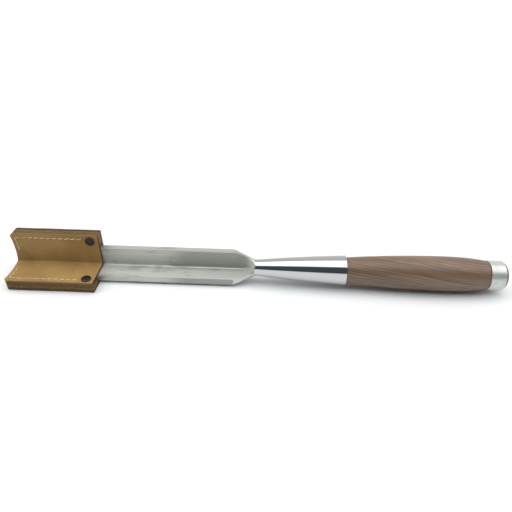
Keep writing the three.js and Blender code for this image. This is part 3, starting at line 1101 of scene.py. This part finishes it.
@dataclass
class Handle:
    """The turned walnut handle, with its tenon in the socket and its butt through the hoop."""

    shoulder_radius: float = mm(13)
    belly_radius: float = mm(17.1)
    belly_at: float = 0.68
    end_radius: float = mm(14)
    swell: float = 1.9
    round_off: float = 2.6
    tenon_radius: float = mm(12)
    tenon_end_radius: float = mm(6.3)
    arris: float = mm(0.5)
    seat_radius: float = mm(12.5)
    butt_radius: float = mm(13.2)
    clearance: float = mm(0.2)
    grip_steps: int = 44
    butt_steps: int = 9

    def build(self) -> bpy.types.Object:
        """Turns the handle between the places that the frame gives for its ends, the socket and the hoop.

        Returns:
            The handle.
        """
        low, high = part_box("handle")
        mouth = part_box("blade")[1].x
        hoop_low, hoop_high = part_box("hoop")
        axis = (hoop_low + hoop_high) / 2
        grip_end = hoop_low.x - self.clearance
        outline = [(low.x, self.tenon_end_radius - mm(0.6)), (low.x + mm(0.6), self.tenon_end_radius)]
        outline += [(mouth, self.tenon_radius)]
        outline += self._grip(mouth + self.clearance, grip_end)
        outline += [
            (grip_end, self.end_radius - self.arris * 2),
            (grip_end, self.seat_radius),
            (hoop_high.x + self.clearance, self.seat_radius),
            (hoop_high.x + self.clearance, self.butt_radius - self.arris),
            (hoop_high.x + self.clearance + self.arris, self.butt_radius),
        ]
        outline += self._butt(hoop_high.x + self.clearance + self.arris, high.x)
        piece = turned("turned_handle", Vector((0, axis.y, axis.z)), AHEAD, outline)
        smooth(piece, 35)
        return piece

    def _grip(self, start_x: float, end_x: float) -> Outline:
        """The grip's stations, from the socket over the belly to the hoop.

        Args:
            start_x: The grip's shoulder.
            end_x: Where the hoop begins.

        Returns:
            The stations.
        """
        outline = [(start_x, self.shoulder_radius - self.arris)]
        for i in range(self.grip_steps + 1):
            share = i / self.grip_steps
            before = (self.belly_at - share) / self.belly_at
            after = (share - self.belly_at) / (1 - self.belly_at)
            if before > 0:
                drop = (self.belly_radius - self.shoulder_radius) * before**self.swell
            else:
                drop = (self.belly_radius - self.end_radius) * after**self.round_off
            x = lerp(start_x + self.arris * 0.6, end_x - self.arris, share)
            outline.append((x, self.belly_radius - drop))
        return outline

    def _butt(self, start_x: float, end_x: float) -> Outline:
        """The domed butt's stations.

        Args:
            start_x: Where the dome begins.
            end_x: Its top.

        Returns:
            The stations.
        """
        outline = []
        for i in range(1, self.butt_steps + 1):
            angle = math.pi / 2 * i / (self.butt_steps + 0.35)
            outline.append((lerp(start_x, end_x, math.sin(angle)), self.butt_radius * math.cos(angle)))
        outline.append((end_x, outline[-1][1] * 0.3))
        return outline


@dataclass
class Hoop:
    """The steel hoop round the striking end."""

    radius: float = mm(14.6)
    wall: float = mm(1.9)
    edge: float = mm(0.7)
    chamfer: float = mm(0.3)
    edge_steps: int = 4

    def build(self) -> bpy.types.Object:
        """Turns the hoop between its ends in the frame.

        Returns:
            The hoop.
        """
        low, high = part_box("hoop")
        axis = (low + high) / 2
        inner = self.radius - self.wall
        angles = [math.pi / 2 * i / self.edge_steps for i in range(self.edge_steps + 1)]
        corner = [(math.sin(angle), math.cos(angle)) for angle in angles]
        left = [(low.x + self.edge * (1 - s), self.radius - self.edge * (1 - c)) for s, c in corner]
        right = [(high.x - self.edge * (1 - s), self.radius - self.edge * (1 - c)) for s, c in corner]
        first = (low.x + self.chamfer, inner)
        outline = [first, (low.x, inner + self.chamfer), *reversed(left), *right]
        outline += [(high.x, inner + self.chamfer), (high.x - self.chamfer, inner), first]
        piece = turned("steel_hoop", Vector((0, axis.y, axis.z)), AHEAD, outline, ring=True)
        smooth(piece, 40)
        return piece


@dataclass
class Chisel:
    """The chisel itself: blade, handle and hoop."""

    def build(self) -> None:
        """Builds and dresses the three pieces."""
        blade = Blade()
        steel = ForgedSteel(
            shoulder=blade.start + blade.shoulder,
            neck=blade.start + blade.neck,
            top=blade.corner.z + blade.width,
        )
        handle = Handle()
        dressed(blade.build(), Body.CHISEL, Slot.BLADE, steel.make(), "blade")
        dressed(handle.build(), Body.CHISEL, Slot.WALNUT, Walnut(blade.axis).make(), "handle")
        dressed(Hoop().build(), Body.CHISEL, Slot.HOOP, PolishedSteel().make(), "hoop")


# ---- The sheath ------------------------------------------------------------------------------------------


@dataclass(frozen=True)
class Seat:
    """Places on one flange of the sheath, from the outer corner of its fold."""

    flange: Flange
    corner: Vector

    def at(self, x: float, side: float, height: float) -> Vector:
        """A place along the tool, out towards the free edge, and up from the outer face."""
        if self.flange is Flange.FLOOR:
            return Vector((x, self.corner.y - side, self.corner.z + height))
        return Vector((x, self.corner.y - height, self.corner.z + side))

    @property
    def up(self) -> Vector:
        """The way from the outer face to the trough."""
        return Vector((0, 0, 1)) if self.flange is Flange.FLOOR else Vector((0, -1, 0))

    @property
    def out(self) -> Vector:
        """The way from the fold to the free edge."""
        return Vector((0, -1, 0)) if self.flange is Flange.FLOOR else Vector((0, 0, 1))

    def slab(
        self, name: str, low: tuple[float, float, float], high: tuple[float, float, float]
    ) -> bpy.types.Object:
        """A cube primitive between two places given as along, out and up.

        Args:
            name: The block's name.
            low: Its near corner.
            high: Its far corner.

        Returns:
            The block.
        """
        a, b = self.at(*low), self.at(*high)
        pairs = [(min(p, q), max(p, q)) for p, q in zip(a, b)]
        return block(name, Vector(low for low, _ in pairs), Vector(high for _, high in pairs))


@dataclass(frozen=True)
class Pattern:
    """Where the sheath is cut, sewn and riveted."""

    start: float
    mouth: float
    width: float = mm(44.5)
    stack: float = mm(11.75)
    leather: float = mm(2.5)
    layer_gap: float = mm(0.1)
    welt_start: float = mm(30.8)
    welt_depth: float = mm(3.225)
    tip_land: float = mm(11.4)
    stitch_inset: float = mm(4.5)
    pitch: float = mm(6.1)
    long_holes: int = 12
    tip_pitch: float = mm(5.2)
    tip_holes: int = 3
    thread_radius: float = mm(0.45)
    rivet_from_edge: float = mm(6.4)
    rivet_from_mouth: float = mm(8.3)
    rivet_radius: float = mm(4.75)
    rivet_height: float = mm(1.6)
    sleeve_radius: float = mm(2.2)
    hollow: float = mm(1.6)
    corner_round: float = mm(5)
    awl_radius: float = mm(0.55)
    groove_overrun: float = mm(1.2)

    @property
    def rivet(self) -> tuple[float, float]:
        """The rivet's place, along and out."""
        return self.mouth - self.rivet_from_mouth, self.width - self.rivet_from_edge

    def recess(self, side: float) -> float:
        """How far the closed end is cut back at a distance from the fold."""
        share = (side - self.stack) / (self.width - self.stack)
        return self.hollow * 4 * share * (1 - share)

    def holes(self) -> list[tuple[float, float]]:
        """The stitch holes, along and out, from the mouth to the closed end and across it.

        Returns:
            The holes.
        """
        x, side = self.start + self.stitch_inset, self.width - self.stitch_inset
        long = [(x + self.pitch * i, side) for i in reversed(range(self.long_holes))]
        sides = [side - self.tip_pitch * (i + 1) for i in range(self.tip_holes)]
        return long + [(x + self.recess(s) * 0.8, s) for s in sides]


@dataclass
class Hide:
    """Leather worker's cuts that several layers share."""

    pattern: Pattern
    seats: Sequence[Seat]

    def hollow_end(self, piece: bpy.types.Object, seats: Sequence[Seat]) -> None:
        """Cuts the closed end back in a shallow hollow on each flange.

        Args:
            piece: The layer that is cut.
            seats: The flanges that it lies in.
        """
        pattern = self.pattern
        half = (pattern.width - pattern.stack) / 2
        radius = (half**2 + pattern.hollow**2) / (2 * pattern.hollow)
        for seat in seats:
            centre = seat.at(pattern.start + pattern.hollow - radius, pattern.stack + half, -mm(2))
            rings = [(0, radius), (THROUGH, radius)]
            cut(piece, turned("end_cutter", centre, seat.up, rings, sides=360))
            cut(piece, self._corner_cutter(seat))

    def _corner_cutter(self, seat: Seat) -> bpy.types.Object:
        """What rounds off the free corner of the closed end: a block less a round bar.

        Args:
            seat: The flange that it rounds.

        Returns:
            The cutter.
        """
        pattern = self.pattern
        radius, spare = pattern.corner_round, mm(2)
        x, side = pattern.start + radius, pattern.width - radius
        low, high = (x - radius - spare, side, -spare), (x, side + radius + spare, THROUGH)
        corner = seat.slab("corner_cutter", low, high)
        bar = [(-spare * 2, radius), (THROUGH + spare * 2, radius)]
        cut(corner, turned("round_bar", seat.at(x, side, 0), seat.up, bar, sides=64))
        return corner

    def pierce(self, piece: bpy.types.Object, low: float, high: float) -> None:
        """Pierces the stitch holes between two heights on both flanges.

        Args:
            piece: The panel that is pierced.
            low: Where the holes begin.
            high: Where they end.
        """
        awls = []
        for seat in self.seats:
            for x, side in self.pattern.holes():
                shaft = [(low, self.pattern.awl_radius), (high, self.pattern.awl_radius)]
                awls.append(turned("awl", seat.at(x, side, 0), seat.up, shaft, sides=10))
        cut(piece, joined("awls", awls))

    def groove(self, piece: bpy.types.Object, height: float, radius: float) -> None:
        """Cuts the stitching groove along both flanges.

        Args:
            piece: The panel that is grooved.
            height: Where the groove's middle is.
            radius: The groove's radius.
        """
        holes = self.pattern.holes()
        (first_x, first_side), (last_x, last_side) = holes[0], holes[-1]
        spare = self.pattern.groove_overrun
        route = [(first_x + spare, first_side), *holes, (last_x, last_side - spare)]
        for seat in self.seats:
            axis = "Z" if seat.flange is Flange.FLOOR else "Y"
            points = [seat.at(x, side, height) for x, side in reversed(route)]
            cut(piece, cord("groover", points, axis, radius))

    def ease(self, piece: bpy.types.Object, seed: float, strength: float = mm(0.35)) -> None:
        """Gives a layer the slight unevenness of a hand-cut hide.

        Args:
            piece: The layer.
            seed: Shifts the unevenness, so that no two layers share it.
            strength: How far apart its high and low places are.
        """
        texture = bpy.data.textures.new(piece.name, "CLOUDS")
        texture.noise_scale = 0.022
        texture.noise_depth = 1
        piece.data.transform(Matrix.Translation((seed, 0, 0)))
        change(piece, "DISPLACE", texture=texture, strength=strength, mid_level=1.0, texture_coords="LOCAL")
        piece.data.transform(Matrix.Translation((-seed, 0, 0)))


@dataclass
class Panel:
    """A leather strip folded along its middle."""

    name: str
    height: float
    fold_radius: float
    groove_height: float
    groove_radius: float
    seed: float
    arris: float = mm(0.45)
    fold_segments: int = 6
    length_cuts: int = 31
    flange_cuts: int = 11

    def build(self, pattern: Pattern, hide: Hide) -> bpy.types.Object:
        """Folds, cuts, grooves and pierces the panel.

        Args:
            pattern: The sheath's pattern.
            hide: The cuts that the layers share.

        Returns:
            The panel.
        """
        floor = hide.seats[0]
        near_fold = floor.at(pattern.start, self.height, self.height)
        free = floor.at(pattern.mouth, pattern.width, self.height)
        middle = (near_fold + free) / 2
        length = pattern.mouth - pattern.start
        flange = pattern.width - self.height
        piece = start(self.name, bpy.ops.mesh.primitive_plane_add, size=1, location=middle)
        with Bench(piece) as bench:
            bpy.ops.mesh.select_all(action="SELECT")
            bpy.ops.transform.resize(value=(length, flange, 1), center_override=middle)
            bench.pick_edges(lambda a, b: near(a.y, near_fold.y) and near(b.y, near_fold.y))
            bench.extrude((0, 0, flange))
            fold_y, fold_z = near_fold.y, near_fold.z
            bench.pick_edges(lambda a, b: all(near(p.y, fold_y) and near(p.z, fold_z) for p in (a, b)))
            bpy.ops.mesh.bevel(
                offset=self.fold_radius, segments=self.fold_segments, profile=0.5, affect="EDGES"
            )
            bench.pick_edges(lambda a, b: abs((a - b).x) > mm(1))
            bpy.ops.mesh.subdivide(number_cuts=self.length_cuts)
            bench.pick_edges(lambda a, b: abs((a - b).x) < mm(0.01) and (a - b).length > mm(10))
            bpy.ops.mesh.subdivide(number_cuts=self.flange_cuts)
            bench.clean()
            bench.face_up()
        change(piece, "SOLIDIFY", thickness=pattern.leather, offset=1, use_even_offset=True)
        with Bench(piece) as bench:
            bench.clean()
            bench.soften_sharp(self.arris, segments=3, sharper_than=60)
        hide.ease(piece, self.seed)
        hide.hollow_end(piece, hide.seats)
        hide.groove(piece, self.groove_height, self.groove_radius)
        hide.pierce(piece, self.height - mm(1), self.height + pattern.leather + mm(1))
        return piece


@dataclass
class Welt:
    """A filler strip along the free edge of one flange and round its closed end."""

    seat: Seat
    layer: int
    inset: float
    room: float = mm(1.5)
    fold_gap: float = mm(0.3)
    arris: float = mm(0.4)
    length_cuts: int = 14

    def build(self, pattern: Pattern, hide: Hide) -> bpy.types.Object:
        """Cuts the welt out.

        Args:
            pattern: The sheath's pattern.
            hide: The cuts that the layers share.

        Returns:
            The welt.
        """
        low = pattern.leather + pattern.layer_gap + self.layer * (pattern.welt_depth + pattern.layer_gap)
        high = low + pattern.welt_depth
        mouth = pattern.mouth - self.inset
        tip_end = pattern.start + pattern.tip_land - self.room
        first = (pattern.start + self.inset, pattern.welt_start, low)
        piece = self.seat.slab(
            f"{self.seat.flange.value}_welt_{'inner' if self.layer else 'outer'}_strip",
            first,
            (mouth, pattern.width - self.inset, high),
        )
        inner_side = pattern.stack if self.seat.flange is Flange.WALL else pattern.leather + self.fold_gap
        with Bench(piece) as bench:
            bpy.ops.mesh.select_all(action="SELECT")
            bpy.ops.mesh.bisect(plane_co=(tip_end, 0, 0), plane_no=(1, 0, 0))
            bench.pick_faces(lambda centre, normal: normal.dot(self.seat.out) < -0.9 and centre.x < tip_end)
            bench.extrude(self.seat.out * (inner_side - pattern.welt_start))
            bench.pick_edges(lambda a, b: abs((a - b).x) > mm(1))
            bpy.ops.mesh.subdivide(number_cuts=self.length_cuts)
            bench.soften_sharp(self.arris, segments=2, sharper_than=60)
            bench.clean()
        hide.ease(piece, 0.1 + self.layer * 0.05, mm(0.2))
        hide.hollow_end(piece, [self.seat])
        return piece


@dataclass
class Rivet:
    """A double-cap rivet: a domed cap with its post, and a base cap with its sleeve."""

    seat: Seat
    clearance: float = mm(0.2)
    post_radius: float = mm(1.5)
    sleeve_bore: float = mm(1.7)
    rim: float = mm(0.35)
    dome_steps: int = 8

    def cap(self, pattern: Pattern) -> bpy.types.Object:
        """Turns the cap that lies in the trough, with its post.

        Args:
            pattern: The sheath's pattern.

        Returns:
            The cap.
        """
        z = pattern.stack + self.clearance
        radius, height = pattern.rivet_radius, pattern.rivet_height
        post, rim = self.post_radius, self.rim
        under = z - mm(0.05)
        outline = [(mm(1.2), post * 0.7), (mm(2), post), (under, post), (under, radius - rim * 1.4)]
        outline += [(z + rim * 0.3, radius - rim * 0.3), (z + rim, radius), (z + rim * 1.6, radius - rim * 0.2)]
        outline += self._dome(z + rim * 1.6, z + height, radius - rim * 0.2)
        return self._turn("cap", pattern, outline)

    def base(self, pattern: Pattern) -> bpy.types.Object:
        """Turns the base cap that lies in the outer panel's face, with its sleeve.

        Args:
            pattern: The sheath's pattern.

        Returns:
            The base.
        """
        radius, height, sleeve = pattern.rivet_radius, pattern.rivet_height, pattern.sleeve_radius
        inner, back = self.sleeve_bore, height - self.clearance
        outline = [(height * 0.62, mm(0.1)), (height * 0.62, inner)]
        outline += [(pattern.stack - self.clearance, inner), (pattern.stack - self.clearance, sleeve)]
        outline += [(back, sleeve), (back, radius - mm(0.2))]
        outline += [(back - mm(0.25), radius), (back - mm(0.55), radius)]
        outline += self._dome(back - mm(0.55), self.clearance, radius)
        return self._turn("base", pattern, outline)

    def _dome(self, low: float, high: float, radius: float) -> Outline:
        """A cap's crown: steep at its rim and nearly flat on top.

        Args:
            low: The height of its rim.
            high: The height of its top.
            radius: The radius of its rim.

        Returns:
            The stations.
        """
        outline = []
        for i in range(1, self.dome_steps):
            angle = math.pi / 2 * i / self.dome_steps
            outline.append((lerp(low, high, math.sin(angle) ** 0.8), radius * math.cos(angle)))
        return outline + [(high, radius * 0.05)]

    def _turn(self, part: str, pattern: Pattern, outline: Outline) -> bpy.types.Object:
        """Turns one part of the rivet in its place.

        Args:
            part: The part's name.
            pattern: The sheath's pattern.
            outline: Its stations.

        Returns:
            The part.
        """
        name = f"{self.seat.flange.value}_rivet_{part}_turned"
        piece = turned(name, self.seat.at(*pattern.rivet, 0), self.seat.up, outline, sides=48)
        smooth(piece, 38)
        return piece


@dataclass
class Stitching:
    """One flange's saddle stitching, on both of its faces."""

    seat: Seat
    lay: float = math.radians(46)
    slant: float = math.radians(7)
    dive: float = mm(1.15)
    gap: float = mm(0.7)
    proud: float = mm(0.12)
    sunk: float = mm(0.62)
    steps: int = 16

    def _stitch(self, length: float, radius: float) -> bpy.types.Object:
        """One stitch of laid thread along X that dives into a hole at each end, with +Z up.

        Args:
            length: The stitch's length.
            radius: The thread's radius.

        Returns:
            The stitch.
        """
        points = []
        for i in range(self.steps + 1):
            share = i / self.steps
            crown = math.sin(math.pi * share) ** 0.35 if 0 < share < 1 else 0
            points.append(Vector((length * (share - 0.5), 0, self.dive * (crown - 1))))
        return cord("stitch", points, "Y", radius * 0.54, strands=3, twist=self.lay)

    def build(self, pattern: Pattern) -> bpy.types.Object:
        """Sews the flange.

        Args:
            pattern: The sheath's pattern.

        Returns:
            All of the flange's thread.
        """
        model = self._stitch(pattern.pitch - self.gap, pattern.thread_radius)
        faces = [(self.seat.up, pattern.stack + self.proud), (-self.seat.up, self.sunk)]
        stitches = []
        for up, height in faces:
            for (x0, side0), (x1, side1) in pairwise(pattern.holes()):
                a, b = self.seat.at(x0, side0, height), self.seat.at(x1, side1, height)
                along = (b - a).normalized()
                across = up.cross(along)
                turn = Matrix((along, across, up)).transposed().to_4x4() @ Matrix.Rotation(self.slant, 4, "Z")
                shrink = Matrix.Diagonal(((b - a).length / pattern.pitch, 1, 1, 1))
                place = Matrix.Translation((a + b) / 2) @ turn @ shrink
                stitches.append(twin(model, "stitch", place))
        bpy.data.objects.remove(model)
        piece = joined(f"{self.seat.flange.value}_stitching", stitches)
        smooth(piece, 60)
        return piece


@dataclass
class Sheath:
    """The leather sheath: two folded panels with welts between them, sewn and riveted."""

    def build(self) -> None:
        """Builds and dresses the twelve pieces."""
        low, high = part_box("sheath_outer_panel")
        pattern = Pattern(low.x, high.x)
        corner = Vector((low.x, high.y, low.z))
        seats = [Seat(flange, corner) for flange in Flange]
        hide = Hide(pattern, seats)
        self._panels(pattern, hide, low, high)
        self._welts(pattern, hide)
        self._hardware(pattern, seats)

    def _panels(self, pattern: Pattern, hide: Hide, low: Vector, high: Vector) -> None:
        """Builds the two panels.

        Args:
            pattern: The sheath's pattern.
            hide: The cuts that the layers share.
            low: The sheath's lowest corner.
            high: The sheath's highest corner.
        """
        # The tan inner panel takes nearly full painted shade at the mouth, where the blade's slot lies in
        # shadow.
        tan = Leather("tan_leather", low, high, TAN, TAN_RUBBED, BURNT_EDGE, mouth_shade=0.97)
        brown = Leather("brown_leather", low, high, BROWN, BROWN_RUBBED, DARK_EDGE)
        inner = Panel(
            "trough_panel",
            height=pattern.stack - pattern.leather,
            fold_radius=mm(3.7),
            groove_height=pattern.stack + mm(0.25),
            groove_radius=mm(0.6),
            seed=0,
        )
        outer = Panel(
            "outside_panel",
            height=0,
            fold_radius=mm(3),
            groove_height=mm(0.3),
            groove_radius=mm(0.75),
            seed=0.07,
        )
        for panel, slot, finish, node in (
            (inner, Slot.TAN_LEATHER, tan, "sheath_inner_panel"),
            (outer, Slot.BROWN_LEATHER, brown, "sheath_outer_panel"),
        ):
            piece = panel.build(pattern, hide)
            smooth(piece, 35)
            dressed(piece, Body.SHEATH, slot, finish.make(), node)

    def _welts(self, pattern: Pattern, hide: Hide) -> None:
        """Builds the four welts.

        Args:
            pattern: The sheath's pattern.
            hide: The cuts that the layers share.
        """
        low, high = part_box("sheath_outer_panel")
        finish = Leather("welt_leather", low, high, WELT, WELT_RUBBED, DARK_EDGE).make()
        for seat in hide.seats:
            for layer, (part, inset) in enumerate((("outer", mm(0.3)), ("inner", mm(0.15)))):
                piece = Welt(seat, layer, inset).build(pattern, hide)
                smooth(piece, 35)
                dressed(piece, Body.SHEATH, Slot.WELT, finish, f"{seat.flange.value}_welt_{part}")

    def _hardware(self, pattern: Pattern, seats: Sequence[Seat]) -> None:
        """Rivets and sews both flanges.

        Args:
            pattern: The sheath's pattern.
            seats: The two flanges.
        """
        black = BlackenedSteel().make()
        linen = WaxedThread().make()
        for seat in seats:
            flange = seat.flange.value
            rivet = Rivet(seat)
            dressed(rivet.cap(pattern), Body.SHEATH, Slot.RIVET, black, f"{flange}_rivet_cap")
            dressed(rivet.base(pattern), Body.SHEATH, Slot.RIVET, black, f"{flange}_rivet_base")
            dressed(Stitching(seat).build(pattern), Body.SHEATH, Slot.THREAD, linen, f"{flange}_thread")


# ---- The stage -------------------------------------------------------------------------------------------


@dataclass
class Studio:
    """A pale floor, a soft light overhead and the surroundings that the polished steel mirrors."""

    floor_size: float = 14
    floor_tone: Colour = (0.86, 0.865, 0.86, 1)
    floor_roughness: float = 0.7
    ceiling: float = 2.1
    backdrop: Colour = (0.42, 0.43, 0.43, 1)
    softbox_length: float = 1.4
    softbox_depth: float = 0.9
    softbox_watts: float = 1.5
    softbox_place: tuple[float, float, float] = (0.05, 0.3, 1.1)

    def build(self) -> None:
        """Sets up the floor, the light, the surroundings and the colour handling."""
        self._floor()
        self._light()
        self._surroundings()
        bpy.context.scene.view_settings.view_transform = "Standard"

    def _floor(self) -> None:
        """A plain floor under the tool."""
        floor = start("floor", bpy.ops.mesh.primitive_plane_add, size=self.floor_size, location=(0, 0, 0))
        graph = material_graph("pale_floor")
        floor.data.materials.append(graph.surface(Base_Color=self.floor_tone, Roughness=self.floor_roughness))

    def _light(self) -> None:
        """A large softbox overhead, a little behind the tool."""
        data = bpy.data.lights.new("softbox", "AREA")
        data.shape = "RECTANGLE"
        data.size = self.softbox_length
        data.size_y = self.softbox_depth
        data.energy = self.softbox_watts
        light = bpy.data.objects.new("softbox", data)
        light.location = self.softbox_place
        light.rotation_euler = (Vector((0, 0, 0)) - light.location).to_track_quat("-Z", "Y").to_euler()
        light.visible_glossy = False
        bpy.context.scene.collection.objects.link(light)

    def _surroundings(self) -> None:
        """A bright ceiling, a pale backdrop behind the tool, and a dim room in front of it."""
        world = bpy.data.worlds.new("studio")
        bpy.context.scene.world = world
        graph = Graph(world, "Generated")
        _, y, z = graph.split(graph.place)
        turn = z.angle_from(0 - y) / math.pi
        room = [
            (0.0, (0.5, 0.5, 0.49, 1)),
            (0.05, (0.45, 0.45, 0.45, 1)),
            (0.065, (0.03, 0.034, 0.04, 1)),
            (0.32, (0.04, 0.047, 0.055, 1)),
            (0.345, (0.8, 0.9, 1, 1)),
            (0.4, (1, 1, 1, 1)),
            (0.64, (1, 1, 1, 1)),
            (0.66, (0.1, 0.1, 0.1, 1)),
            (0.69, (0.35, 0.35, 0.35, 1)),
            (1.0, (0.4, 0.4, 0.4, 1)),
        ]
        mirrored = graph.ramp(turn, room)
        seen = graph.add("ShaderNodeLightPath", output="Is Camera Ray")
        colour = graph.mix(seen, mirrored, self.backdrop)
        background = graph.add("ShaderNodeBackground", inputs={"Color": colour, "Strength": self.ceiling})
        graph.node("ShaderNodeOutputWorld", inputs={"Surface": background})


@dataclass
class Camera:
    """The camera, in front of the tool and above it, with a slight turn and tilt."""

    stand: Vector
    pitch: float = math.radians(35.62)
    yaw: float = math.radians(2.06)
    roll: float = math.radians(0.69)
    lens: float = 32.4
    sensor: float = 36

    def build(self) -> None:
        """Places the camera and makes it the scene's own."""
        data = bpy.data.cameras.new("camera")
        data.sensor_width = self.sensor
        data.lens = self.lens
        camera = bpy.data.objects.new("camera", data)
        turn = Matrix.Rotation(self.yaw, 4, "Z") @ Matrix.Rotation(math.pi / 2 - self.pitch, 4, "X")
        camera.matrix_world = Matrix.Translation(self.stand) @ turn @ Matrix.Rotation(self.roll, 4, "Z")
        bpy.context.scene.collection.objects.link(camera)
        bpy.context.scene.camera = camera


def main() -> None:
    """Builds the tool piece by piece, then the stage round it."""
    logging.basicConfig(level=logging.INFO, format="%(message)s")
    Chisel().build()
    Sheath().build()
    Studio().build()
    Camera(stand=Vector((mm(13.2), mm(-359), mm(292)))).build()


if __name__ == "__main__":
    main()
